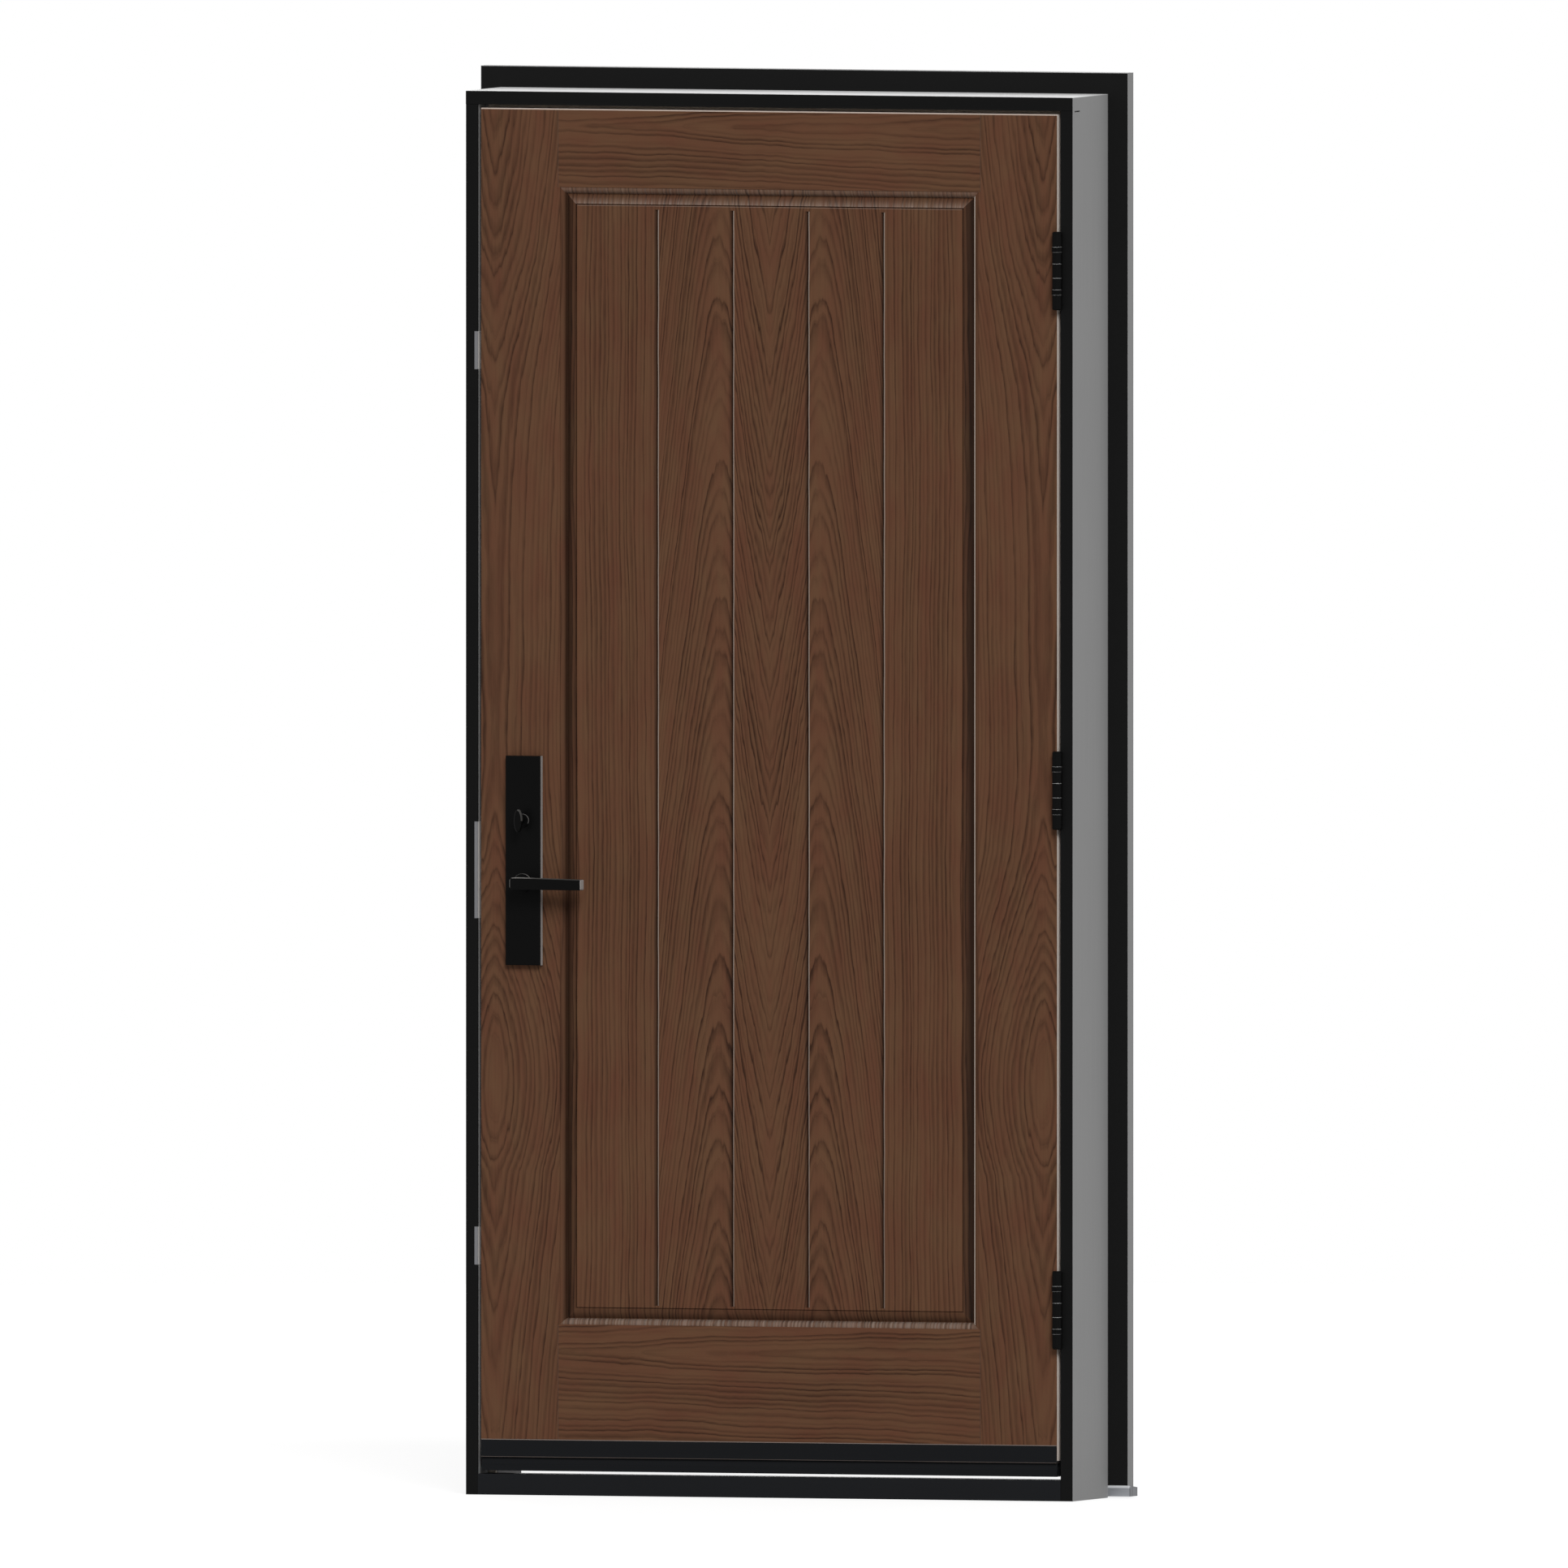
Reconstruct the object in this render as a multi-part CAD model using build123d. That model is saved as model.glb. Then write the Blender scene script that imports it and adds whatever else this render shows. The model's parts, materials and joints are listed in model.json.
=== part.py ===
from build123d import *
from math import radians, tan
import os

os.makedirs("parts", exist_ok=True)

# All sizes are in millimetres. X runs to the right as seen from indoors, Y towards the outdoors, Z up.
# X and Y are zero in the middle of the frame, and Z is zero under the sill.

# The unit and its clearances
unit_width = 952.5
unit_height = 2092.0
jamb_depth = 166.7
swing_gap = 5.2
running_clearance = 0.1
knuckle_clearance = 0.35

# Frame
jamb_edge = 19.0
head_edge = 20.0
stop_rise = 12.7
seal_space = 11.0
frame_arris = 1.0
stop_arris = 2.0
joint_slot_start = 10.0
joint_slot_length = 26.0
joint_slot_height = 2.2
joint_slot_depth = 4.0

# Kerf-fitted weatherstrip
kerf_inset = 1.5
kerf_width = 3.0
kerf_depth = 9.0
seal_width = 11.5
seal_thickness = 5.6
seal_round = 2.4

# Outdoor casing
casing_overlap = 19.0
casing_projection = 31.75
casing_thickness = 27.0
casing_flat = 13.0
casing_quirk = 2.5
casing_ovolo_width = 15.0
casing_ovolo_drop = 8.0
casing_inner_thickness = 13.0
casing_round = 2.0
ovolo_shoulder_across = 0.72
ovolo_shoulder_drop = 0.31

# Sill
sill_top = 31.0
cap_setback = 9.0
cap_back_margin = 5.0
cap_height = 7.0
cap_round = 1.5
deck_start_height = 29.0
deck_end_height = 15.0
deck_nose_past_wall = 34.5
deck_sheet = 2.5
deck_underside = 2.0
horn_past_jamb = 35.0
horn_chamfer = 3.5
horn_seam_from_front = 9.6
horn_seam_width = 1.0
horn_seam_depth = 0.8
deck_rib_count = 7
deck_rib_pitch = 13.0
deck_rib_first = 14.0
deck_rib_width = 3.0
deck_rib_depth = 0.9

# Slab
slab_thickness = 44.5
slab_above_sill = 29.2
skin_thickness = 3.2
lock_edge_bevel_degrees = 3.0
stile_core_width = 38.0
top_rail_height = 34.0
bottom_rail_height = 60.0

# Embossed panel, the same on both skins
stile_face_width = 123.5
top_rail_face_height = 116.8
bottom_rail_face_height = 194.8
ovolo_quirk = 0.9
ovolo_width = 9.0
moulding_depth = 8.0
valley_width = 1.2
bevel_width = 14.0
bevel_bulge = 1.3
bevel_top_depth = 1.6
line_width = 2.0
line_depth = 3.6
panel_depth = 2.6
plank_count = 5
edge_plank_extra = 6.8
plank_groove_width = 9.4
plank_groove_depth = 3.8
groove_rib_flare = 2.0
groove_end_margin_top = 6.0
groove_end_margin_bottom = 3.0
joint_line_past_panel = 2.8
joint_line_width = 1.4
joint_line_depth = 0.7

# Door bottom
shoe_lap = 23.1
shoe_base = 3.5
shoe_wall = 1.6
shoe_chamfer = 1.2
shoe_end_inset = 0.4
fin_count = 4
fin_thickness = 2.0
fin_lean = 3.0
foot_height = 8.8
foot_depth = 6.0

# Hinges
top_hinge_from_slab_top = 232.8
bottom_hinge_from_slab_bottom = 224.8
hinge_height = 114.3
leaf_thickness = 3.4
leaf_reach = 38.0
leaf_corner = 6.0
pin_standoff = 9.0
barrel_diameter = 13.7
pin_diameter = 8.0
pin_tip_height = 1.2
pin_tip_diameter = 11.6
inner_knuckle_height = 17.3
middle_knuckle_height = 21.3
bearing_height = 7.6
bearing_diameter = 15.4
bearing_seam = 0.5

# Strikes
strike_thickness = 1.6
strike_reach = 34.0
strike_lip_width = 5.0
strike_lip_thickness = 0.8
strike_pocket_depth = 13.0
main_strike_below_lever = 53.6
main_strike_above_lever = 90.4
end_strike_height = 56.6
top_strike_from_slab_top = 361.3
bottom_strike_from_slab_bottom = 310.8

# Lock edge
faceplate_width = 20.0
faceplate_thickness = 3.0
faceplate_overrun = 54.0
bolt_thickness = 12.0
bolt_depth = 24.0
bolt_slot_margin = 2.0
latch_height = 24.0
deadbolt_above_lever = 54.4
deadbolt_height = 34.0
tongue_height = 26.0

# Lock furniture
backset = 69.0
lever_from_slab_bottom = 852.4
turn_above_lever = 93.4
plate_width = 54.8
plate_below_lever = 122.6
plate_above_lever = 189.4
plate_thickness = 10.7
plate_arris = 1.2
lever_collar_diameter = 28.0
lever_collar_height = 4.0
lever_neck_diameter = 18.0
lever_neck_seat = 2.0
lever_face_standoff = 45.0
lever_thickness = 15.5
lever_tail = 10.0
lever_reach = 101.7
lever_hub_height = 18.0
lever_tip_height = 15.7
lever_hub_round = 5.0
lever_tip_round = 2.0
lever_edge_round = 1.4
spindle_width = 8.0
spindle_grip = 26.0
lock_bore_diameter = 24.0
turn_collar_diameter = 19.4
turn_collar_height = 3.0
turn_shaft_diameter = 8.0
turn_shaft_tail = 6.0
turn_stem_length = 16.5
turn_height = 34.0
turn_width = 12.0
turn_depth = 7.5
turn_bevel = 1.8
cylinder_diameter = 29.0
cylinder_height = 11.0
cylinder_bevel = 2.0
key_slot_width = 2.0
key_slot_height = 9.0
key_slot_depth = 4.0

# Places that follow from the sizes
frame_outer = unit_width / 2
frame_rabbet = frame_outer - jamb_edge
frame_stop = frame_rabbet - stop_rise
indoor_face = -jamb_depth / 2
wall_face = jamb_depth / 2
outdoor_face = indoor_face + slab_thickness
stop_face = outdoor_face + seal_space
head_rabbet = unit_height - head_edge
head_stop = head_rabbet - stop_rise
lock_edge = -(frame_rabbet - swing_gap)
hinge_edge = frame_rabbet - swing_gap
slab_top = head_rabbet - swing_gap
slab_bottom = sill_top + slab_above_sill
slab_middle = (indoor_face + outdoor_face) / 2
pin_x = frame_rabbet - swing_gap / 2
pin_y = indoor_face - pin_standoff
lever_x = lock_edge + backset
lever_level = slab_bottom + lever_from_slab_bottom
turn_level = lever_level + turn_above_lever
plate_bottom = lever_level - plate_below_lever
plate_top = lever_level + plate_above_lever
deadbolt_level = lever_level + deadbolt_above_lever
top_strike_level = slab_top - top_strike_from_slab_top
bottom_strike_level = slab_bottom + bottom_strike_from_slab_bottom
strike_spans = {
    "top": (top_strike_level - end_strike_height / 2, top_strike_level + end_strike_height / 2),
    "main": (lever_level - main_strike_below_lever, lever_level + main_strike_above_lever),
    "bottom": (bottom_strike_level - end_strike_height / 2, bottom_strike_level + end_strike_height / 2),
}
faceplate_bottom = bottom_strike_level - faceplate_overrun
faceplate_top = top_strike_level + faceplate_overrun
top_hinge_level = slab_top - top_hinge_from_slab_top
bottom_hinge_level = slab_bottom + bottom_hinge_from_slab_bottom
hinge_heights = {
    "top": top_hinge_level,
    "middle": (top_hinge_level + bottom_hinge_level) / 2,
    "bottom": bottom_hinge_level,
}
panel_half = hinge_edge - stile_face_width
panel_bottom = slab_bottom + bottom_rail_face_height
panel_top = slab_top - top_rail_face_height
moulding_width = ovolo_width + valley_width + bevel_width + line_width
plank_pitch = 2 * (panel_half - moulding_width - edge_plank_extra) / plank_count
end_knuckle_height = (hinge_height - middle_knuckle_height) / 2 - inner_knuckle_height - bearing_height

slab_mirror = Plane(origin=(0, slab_middle, 0), x_dir=(1, 0, 0), z_dir=(0, 1, 0))


def block(x, y, z):
    size = Box(x[1] - x[0], y[1] - y[0], z[1] - z[0])
    return Pos((x[0] + x[1]) / 2, (y[0] + y[1]) / 2, (z[0] + z[1]) / 2) * size


def rounded_face(points, rounds):
    face = make_face(Polyline(*points, close=True))
    for index, radius in rounds.items():
        corner = face.vertices().sort_by_distance((points[index][0], points[index][1], 0))[0]
        face = fillet(corner, radius)
    return face


def upright(face, z):
    return extrude(Pos(0, 0, z[0]) * face, amount=z[1] - z[0])


def crosswise(face, x):
    return extrude(Plane.YZ.offset(x[0]) * face, amount=x[1] - x[0])


def rod_along_y(x, z, diameter, y):
    rod = extrude(Circle(diameter / 2), amount=y[1] - y[0])
    return Pos(x, y[0], z) * (Rot(-90, 0, 0) * rod)


def to_lock_side(shape):
    return mirror(shape, about=Plane.YZ)


def to_outdoor_side(shape):
    return mirror(shape, about=slab_mirror)


def save(name, shape):
    export_step(shape, f"parts/{name}.step")


# Frame: a full-width head over two side jambs whose tops are cut to its rabbet
head_points = [
    (indoor_face, unit_height),
    (wall_face, unit_height),
    (wall_face, head_stop),
    (stop_face, head_stop),
    (stop_face, head_rabbet),
    (indoor_face, head_rabbet),
]
head_form = crosswise(make_face(Polyline(*head_points, close=True)), (-frame_outer, frame_outer))

jamb_points = [
    (frame_outer, indoor_face),
    (frame_outer, wall_face),
    (frame_stop, wall_face),
    (frame_stop, stop_face),
    (frame_rabbet, stop_face),
    (frame_rabbet, indoor_face),
]
jamb_face = rounded_face(jamb_points, {0: frame_arris, 3: stop_arris, 5: frame_arris})
kerf_outer = frame_rabbet - kerf_inset
jamb_kerf = block((kerf_outer - kerf_width, kerf_outer), (stop_face, stop_face + kerf_depth), (0, head_stop))
joint_slot_front = indoor_face + joint_slot_start
joint_slot = block(
    (frame_outer - joint_slot_depth, frame_outer),
    (joint_slot_front, joint_slot_front + joint_slot_length),
    (head_rabbet - joint_slot_height, head_rabbet),
)
side_jamb = upright(jamb_face, (0, unit_height)) - head_form - jamb_kerf - joint_slot

head_kerf_top = head_rabbet - kerf_inset
head_kerf = block(
    (-frame_rabbet, frame_rabbet),
    (stop_face, stop_face + kerf_depth),
    (head_kerf_top - kerf_width, head_kerf_top),
)
head_face = rounded_face(head_points, {0: frame_arris, 3: stop_arris, 5: frame_arris})
head_jamb = crosswise(head_face, (-frame_outer, frame_outer)) - head_kerf

# Weatherstrip: a tongue in the kerf and a soft bead against the stop
side_seal_points = [
    (frame_rabbet, stop_face),
    (frame_rabbet, stop_face - seal_thickness),
    (frame_rabbet - seal_width, stop_face - seal_thickness),
    (frame_rabbet - seal_width, stop_face),
]
seal_bottom = sill_top
seal_mitre = head_rabbet - seal_width
side_seal_face = rounded_face(side_seal_points, {1: seal_round, 2: seal_round})
side_seal = upright(side_seal_face, (seal_bottom, seal_mitre))
side_seal += block(
    (kerf_outer - kerf_width, kerf_outer),
    (stop_face, stop_face + kerf_depth),
    (seal_bottom, head_stop),
)
head_seal_points = [
    (stop_face, head_rabbet),
    (stop_face - seal_thickness, head_rabbet),
    (stop_face - seal_thickness, seal_mitre),
    (stop_face, seal_mitre),
]
head_seal_face = rounded_face(head_seal_points, {1: seal_round, 2: seal_round})
head_seal = crosswise(head_seal_face, (-frame_rabbet, frame_rabbet)) + head_kerf

# Casing: one moulded section, mitred at the two top corners
casing_outer = frame_outer + casing_projection
casing_inner = frame_outer - casing_overlap
casing_top = unit_height + casing_projection
casing_width = casing_projection + casing_overlap
ovolo_start = casing_flat
ovolo_top = casing_thickness - casing_quirk
ovolo_end = casing_flat + casing_ovolo_width
ovolo_foot = ovolo_top - casing_ovolo_drop


def leg_point(across, out):
    return (casing_outer - across, wall_face + out)


def head_point(across, out):
    return (wall_face + out, casing_top - across)


def casing_section(at):
    outline = Polyline(
        at(ovolo_end, ovolo_foot),
        at(casing_width, casing_inner_thickness),
        at(casing_width, 0),
        at(0, 0),
        at(0, casing_thickness - casing_round),
    )
    outline += Line(at(0, casing_thickness - casing_round), at(casing_round, casing_thickness))
    outline += Polyline(
        at(casing_round, casing_thickness),
        at(ovolo_start, casing_thickness),
        at(ovolo_start, ovolo_top),
    )
    shoulder_across = ovolo_start + casing_ovolo_width * ovolo_shoulder_across
    shoulder = at(shoulder_across, ovolo_top - casing_ovolo_drop * ovolo_shoulder_drop)
    outline += ThreePointArc(at(ovolo_start, ovolo_top), shoulder, at(ovolo_end, ovolo_foot))
    return make_face(outline)


leg_blank = upright(casing_section(leg_point), (0, casing_top))
head_blank = crosswise(casing_section(head_point), (-casing_outer, casing_outer))
mitre_points = [
    (-casing_outer, casing_top),
    (casing_outer, casing_top),
    (casing_outer - casing_width, casing_top - casing_width),
    (-casing_outer + casing_width, casing_top - casing_width),
]
mitre_face = Plane.XZ * make_face(Polyline(*mitre_points, close=True))
mitre_prism = Pos(0, wall_face, 0) * extrude(mitre_face, amount=-casing_thickness)
head_casing = head_blank & mitre_prism

# Sill: a composite base, a cap under the door and a sloping metal deck with a horn at each end
deck_nose = wall_face + deck_nose_past_wall
deck_run = deck_nose - stop_face
deck_slope = (deck_start_height - deck_end_height) / deck_run


def deck_height(y):
    return deck_start_height - deck_slope * (y - stop_face)


deck_wall_height = deck_height(wall_face)
cap_front = indoor_face + cap_setback
cap_back = stop_face - cap_back_margin
base_points = [
    (indoor_face, 0),
    (stop_face, 0),
    (stop_face, sill_top),
    (cap_back, sill_top),
    (cap_back, sill_top - cap_height),
    (cap_front, sill_top - cap_height),
    (cap_front, sill_top),
    (indoor_face, sill_top),
]
sill_base = crosswise(rounded_face(base_points, {7: frame_arris}), (-frame_rabbet, frame_rabbet))
wedge_points = [
    (stop_face, 0),
    (wall_face, 0),
    (wall_face, deck_wall_height - deck_sheet),
    (stop_face, deck_start_height - deck_sheet),
]
sill_base += crosswise(make_face(Polyline(*wedge_points, close=True)), (-frame_stop, frame_stop))
cap_points = [
    (cap_front, sill_top - cap_height),
    (cap_back, sill_top - cap_height),
    (cap_back, sill_top),
    (cap_front, sill_top),
]
sill_cap = crosswise(rounded_face(cap_points, {2: cap_round, 3: cap_round}), (-frame_rabbet, frame_rabbet))

sheet_points = [
    (stop_face, deck_start_height),
    (stop_face, deck_start_height - deck_sheet),
    (wall_face, deck_wall_height - deck_sheet),
    (wall_face, deck_wall_height),
]
sill_deck = crosswise(make_face(Polyline(*sheet_points, close=True)), (-frame_stop, frame_stop))
horn_half = frame_outer + horn_past_jamb
nose_points = [
    (wall_face, deck_underside),
    (wall_face, deck_wall_height),
    (deck_nose, deck_end_height),
    (deck_nose, deck_underside),
]
sill_deck += crosswise(make_face(Polyline(*nose_points, close=True)), (-horn_half, horn_half))
for rib in range(deck_rib_count):
    rib_y = stop_face + deck_rib_first + rib * deck_rib_pitch
    rib_floor = deck_height(rib_y) - deck_rib_depth
    sill_deck -= block(
        (-frame_stop, frame_stop),
        (rib_y - deck_rib_width / 2, rib_y + deck_rib_width / 2),
        (rib_floor, deck_start_height),
    )
chamfer_points = [
    (wall_face, deck_wall_height),
    (wall_face, deck_wall_height - horn_chamfer),
    (wall_face + horn_chamfer, deck_wall_height),
]
chamfer_face = make_face(Polyline(*chamfer_points, close=True))
horn_seam_front = wall_face + horn_seam_from_front
for side in (-1, 1):
    reach = sorted((side * (frame_outer + casing_projection), side * horn_half))
    sill_deck -= crosswise(chamfer_face, reach)
    seam = sorted((side * (horn_half - horn_seam_depth), side * horn_half))
    sill_deck -= block(
        seam,
        (horn_seam_front, horn_seam_front + horn_seam_width),
        (deck_underside, deck_start_height),
    )

# The casing legs are cut to the deck's slope
casing_face = wall_face + casing_thickness
leg_foot_points = [
    (wall_face, 0),
    (wall_face, deck_wall_height),
    (casing_face, deck_height(casing_face)),
    (casing_face, 0),
]
leg_foot = crosswise(make_face(Polyline(*leg_foot_points, close=True)), (casing_inner, casing_outer))
side_casing = leg_blank - mitre_prism - leg_foot

# Strikes: a plate let into the rabbet with a lip folded over the jamb's edge
strike_back = indoor_face + strike_reach
strike_jamb = to_lock_side(side_jamb)
bolt_y = (slab_middle - bolt_thickness / 2, slab_middle + bolt_thickness / 2)
bolt_spans = {
    "latch_bolt": (lever_level - latch_height / 2, lever_level + latch_height / 2),
    "deadbolt": (deadbolt_level - deadbolt_height / 2, deadbolt_level + deadbolt_height / 2),
}
for name in ("top", "bottom"):
    centre = sum(strike_spans[name]) / 2
    bolt_spans[f"{name}_tongue"] = (centre - tongue_height / 2, centre + tongue_height / 2)
pocket_y = (bolt_y[0] - bolt_slot_margin, bolt_y[1] + bolt_slot_margin)
pockets = [
    block(
        (-frame_rabbet - strike_pocket_depth, -frame_rabbet),
        pocket_y,
        (low - bolt_slot_margin, high + bolt_slot_margin),
    )
    for low, high in bolt_spans.values()
]
strikes = {}
for name, (low, high) in strike_spans.items():
    seat = block((-frame_rabbet - strike_thickness, -frame_rabbet), (indoor_face, strike_back), (low, high))
    lip = block(
        (-frame_rabbet - strike_lip_width, -frame_rabbet),
        (indoor_face - strike_lip_thickness, indoor_face),
        (low, high),
    )
    strike_jamb -= seat
    strike = seat + lip
    for pocket in pockets:
        strike -= pocket
    strikes[name] = strike
for pocket in pockets:
    strike_jamb -= pocket

# Hinges: five knuckles on a fixed pin, with a ball bearing next to each end knuckle
knuckle_levels = []
level = hinge_height / 2
for owner, height in (
    ("jamb", end_knuckle_height),
    ("bearing", bearing_height),
    ("door", inner_knuckle_height),
    ("jamb", middle_knuckle_height),
    ("door", inner_knuckle_height),
    ("bearing", bearing_height),
    ("jamb", end_knuckle_height),
):
    knuckle_levels.append((owner, level - height, level))
    level -= height


def barrel(diameter, z):
    return Pos(pin_x, pin_y, z[0]) * extrude(Circle(diameter / 2), amount=z[1] - z[0])


def leaf(owner, plate_x):
    half = hinge_height / 2
    plate = block(plate_x, (pin_y, indoor_face + leaf_reach), (-half, half))
    corners = plate.edges().filter_by(Axis.X).group_by(Axis.Y)[-1]
    plate = fillet(corners, leaf_corner)
    for holder, low, high in knuckle_levels:
        if holder == owner:
            continue
        margin = 0 if owner == "jamb" and holder == "bearing" else knuckle_clearance
        plate -= barrel(bearing_diameter + 2 * knuckle_clearance, (low - margin, high + margin))
    for holder, low, high in knuckle_levels:
        trim = knuckle_clearance / 2
        if holder == owner:
            plate += barrel(barrel_diameter, (low + trim, high - trim))
        if owner == "jamb" and holder == "bearing":
            seam = (low + high) / 2
            inner = low + trim if high > 0 else low
            outer = high if high > 0 else high - trim
            plate += barrel(bearing_diameter, (seam + bearing_seam / 2, outer))
            plate += barrel(bearing_diameter, (inner, seam - bearing_seam / 2))
            plate += barrel(barrel_diameter, (inner, outer))
    fit = 0 if owner == "jamb" else 2 * running_clearance
    return plate - barrel(pin_diameter + fit, (-half, half))


jamb_leaf_x = (frame_rabbet, frame_rabbet + leaf_thickness)
door_leaf_x = (hinge_edge - leaf_thickness, hinge_edge)
jamb_leaf = leaf("jamb", jamb_leaf_x)
door_leaf = leaf("door", door_leaf_x)
pin_half = hinge_height / 2
hinge_pin = barrel(pin_diameter, (-pin_half, pin_half))
for end in (-1, 1):
    tip = sorted((end * pin_half, end * (pin_half + pin_tip_height)))
    hinge_pin += barrel(pin_tip_diameter, tip)


def leaf_mortise(plate_x):
    half = hinge_height / 2
    mortise = block(plate_x, (indoor_face - leaf_corner, indoor_face + leaf_reach), (-half, half))
    return fillet(mortise.edges().filter_by(Axis.X).group_by(Axis.Y)[-1], leaf_corner)


hinge_jamb = side_jamb
for height in hinge_heights.values():
    hinge_jamb -= Pos(0, 0, height) * leaf_mortise(jamb_leaf_x)

# Slab: two embossed skins over stiles, rails and a foam core
panel_path = Wire.make_polygon(
    [
        (0, indoor_face, panel_bottom),
        (panel_half, indoor_face, panel_bottom),
        (panel_half, indoor_face, panel_top),
        (-panel_half, indoor_face, panel_top),
        (-panel_half, indoor_face, panel_bottom),
    ],
    close=True,
)


def below_face(across, depth):
    return (indoor_face + depth, panel_bottom + across)


def swept_form(outline, floor_depth):
    ring = sweep(Plane.YZ * make_face(outline), path=panel_path, transition=Transition.RIGHT)
    field = block(
        (-panel_half + moulding_width, panel_half - moulding_width),
        (indoor_face, indoor_face + floor_depth),
        (panel_bottom + moulding_width, panel_top - moulding_width),
    )
    return ring + field


bevel_start = ovolo_width + valley_width
bevel_end = bevel_start + bevel_width
shoulder_depth = ovolo_quirk + (moulding_depth - ovolo_quirk) * ovolo_shoulder_drop
ovolo_shoulder = below_face(ovolo_width * ovolo_shoulder_across, shoulder_depth)
bevel_middle_depth = (moulding_depth + bevel_top_depth) / 2 - bevel_bulge
front_outline = Line(below_face(0, 0), below_face(0, ovolo_quirk))
ovolo_foot_point = below_face(ovolo_width, moulding_depth)
front_outline += ThreePointArc(below_face(0, ovolo_quirk), ovolo_shoulder, ovolo_foot_point)
front_outline += Line(ovolo_foot_point, below_face(bevel_start, moulding_depth))
front_outline += ThreePointArc(
    below_face(bevel_start, moulding_depth),
    below_face((bevel_start + bevel_end) / 2, bevel_middle_depth),
    below_face(bevel_end, bevel_top_depth),
)
front_outline += Polyline(
    below_face(bevel_end, bevel_top_depth),
    below_face(bevel_end + line_width / 2, line_depth),
    below_face(moulding_width, panel_depth),
    below_face(moulding_width, 0),
    below_face(0, 0),
)
front_form = swept_form(front_outline, panel_depth)

back_floor = panel_depth + skin_thickness
back_valley = moulding_depth + skin_thickness
back_outline = Polyline(
    below_face(0, 0),
    below_face(0, skin_thickness + ovolo_quirk),
    below_face(ovolo_width - skin_thickness, back_valley),
    below_face(bevel_start + skin_thickness, back_valley),
    below_face(bevel_end, back_floor),
    below_face(moulding_width, back_floor),
    below_face(moulding_width, 0),
    below_face(0, 0),
)
back_form = swept_form(back_outline, back_floor)

groove_bottom = panel_bottom + moulding_width + groove_end_margin_bottom
groove_top = panel_top - moulding_width - groove_end_margin_top
panel_face = indoor_face + panel_depth
groove_floor = panel_face + plank_groove_depth
rib_root = indoor_face + back_floor
rib_half = plank_groove_width / 2 + groove_rib_flare
rib_levels = (groove_bottom - groove_rib_flare, groove_top + groove_rib_flare)
for plank in range(plank_count - 1):
    centre = (plank - (plank_count - 2) / 2) * plank_pitch
    left_edge = (centre - plank_groove_width / 2, panel_face)
    right_edge = (centre + plank_groove_width / 2, panel_face)
    groove_outline = Line(left_edge, right_edge)
    groove_outline += TangentArc(left_edge, (centre, groove_floor), tangent=(1, 0))
    groove_outline += TangentArc(right_edge, (centre, groove_floor), tangent=(-1, 0))
    front_form += upright(make_face(groove_outline), (groove_bottom, groove_top))
    rib_points = [
        (centre - rib_half, rib_root),
        (centre + rib_half, rib_root),
        (centre + skin_thickness, groove_floor + skin_thickness),
        (centre - skin_thickness, groove_floor + skin_thickness),
    ]
    back_form += upright(make_face(Polyline(*rib_points, close=True)), rib_levels)

# The joint lines between stiles and rails are pressed into the skin above and below the panel
joint_lines = []
joint_line_x = panel_half + joint_line_past_panel
for centre in (-joint_line_x, joint_line_x):
    for levels in ((slab_bottom, panel_bottom), (panel_top, slab_top)):
        line_x = (centre - joint_line_width / 2, centre + joint_line_width / 2)
        joint_lines.append(block(line_x, (indoor_face, indoor_face + joint_line_depth), levels))

bevel_run = slab_thickness * tan(radians(lock_edge_bevel_degrees))
bevel_points = [
    (lock_edge - bevel_run, indoor_face),
    (lock_edge, indoor_face),
    (lock_edge + bevel_run, outdoor_face),
    (lock_edge - bevel_run, outdoor_face),
]
lock_bevel = upright(make_face(Polyline(*bevel_points, close=True)), (slab_bottom, slab_top))
lock_bores = rod_along_y(lever_x, lever_level, lock_bore_diameter, (indoor_face, outdoor_face))
lock_bores += rod_along_y(lever_x, turn_level, lock_bore_diameter, (indoor_face, outdoor_face))
door_mortises = [Pos(0, 0, height) * leaf_mortise(door_leaf_x) for height in hinge_heights.values()]

skin_inner = indoor_face + skin_thickness
skin_plate = block((lock_edge, hinge_edge), (indoor_face, skin_inner), (slab_bottom, slab_top))
plain_skin = skin_plate + back_form - front_form - lock_bores
for line in joint_lines:
    plain_skin -= line
inside_skin = plain_skin - lock_bevel
outside_skin = to_outdoor_side(plain_skin) - lock_bevel

core_depth = (skin_inner, outdoor_face - skin_thickness)
lock_stile_x = (lock_edge, lock_edge + stile_core_width)
hinge_stile_x = (hinge_edge - stile_core_width, hinge_edge)
between_stiles = (lock_stile_x[1], hinge_stile_x[0])
lock_stile = block(lock_stile_x, core_depth, (slab_bottom, slab_top)) - lock_bevel
hinge_stile = block(hinge_stile_x, core_depth, (slab_bottom, slab_top))
for mortise in door_mortises:
    inside_skin -= mortise
    hinge_stile -= mortise
top_rail = block(between_stiles, core_depth, (slab_top - top_rail_height, slab_top))
bottom_rail = block(between_stiles, core_depth, (slab_bottom, slab_bottom + bottom_rail_height))
core_levels = (slab_bottom + bottom_rail_height, slab_top - top_rail_height)
foam_core = block(between_stiles, core_depth, core_levels) - lock_bores
foam_core -= back_form
foam_core -= to_outdoor_side(back_form)

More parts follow.
